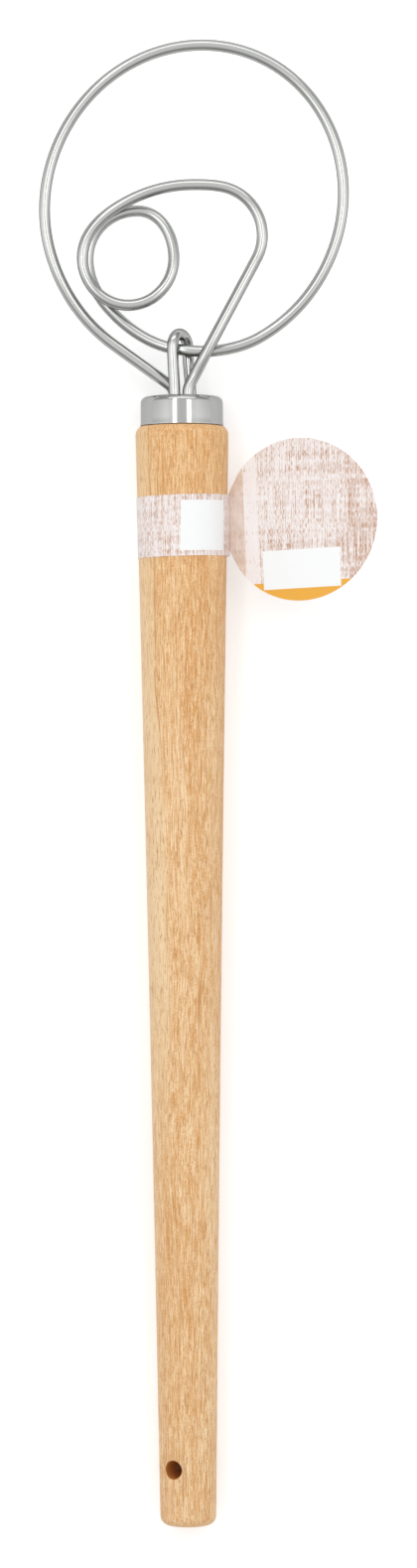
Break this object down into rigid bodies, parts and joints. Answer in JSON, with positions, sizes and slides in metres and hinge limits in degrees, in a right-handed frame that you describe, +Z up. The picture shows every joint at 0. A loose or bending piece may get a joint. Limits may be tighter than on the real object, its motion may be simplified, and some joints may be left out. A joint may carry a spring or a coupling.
{
  "type": "dough whisk",
  "caption": "Hand tool for mixing dough: a tapered wooden handle with a metal ferrule, and a stiff wire bent into a big loop, an inner loop and a coil.",
  "frame": {"origin": "bottom centre of the whole tool as it lies on a table, resting on its tail end and on the edge of its label", "axes": "+Y along the handle from its tail to the loops, +Z up from the table, +X to the right, the side of the label's flag"},
  "size_m": [0.0902, 0.4, 0.0283],
  "materials": {
    "beech": "smooth sanded, thinly oiled",
    "ferrule_metal": "polished plated steel",
    "wire_steel": "drawn and polished stainless",
    "resin": "cured resin",
    "label_paper": "printed paper"
  },
  "bodies": {
    "root": {"handle": "beech", "ferrule": "ferrule_metal", "whisk_wire": "wire_steel", "hook_wire": "wire_steel", "resin_plug": "resin", "wrap_label": "label_paper"}
  },
  "joints": []
}
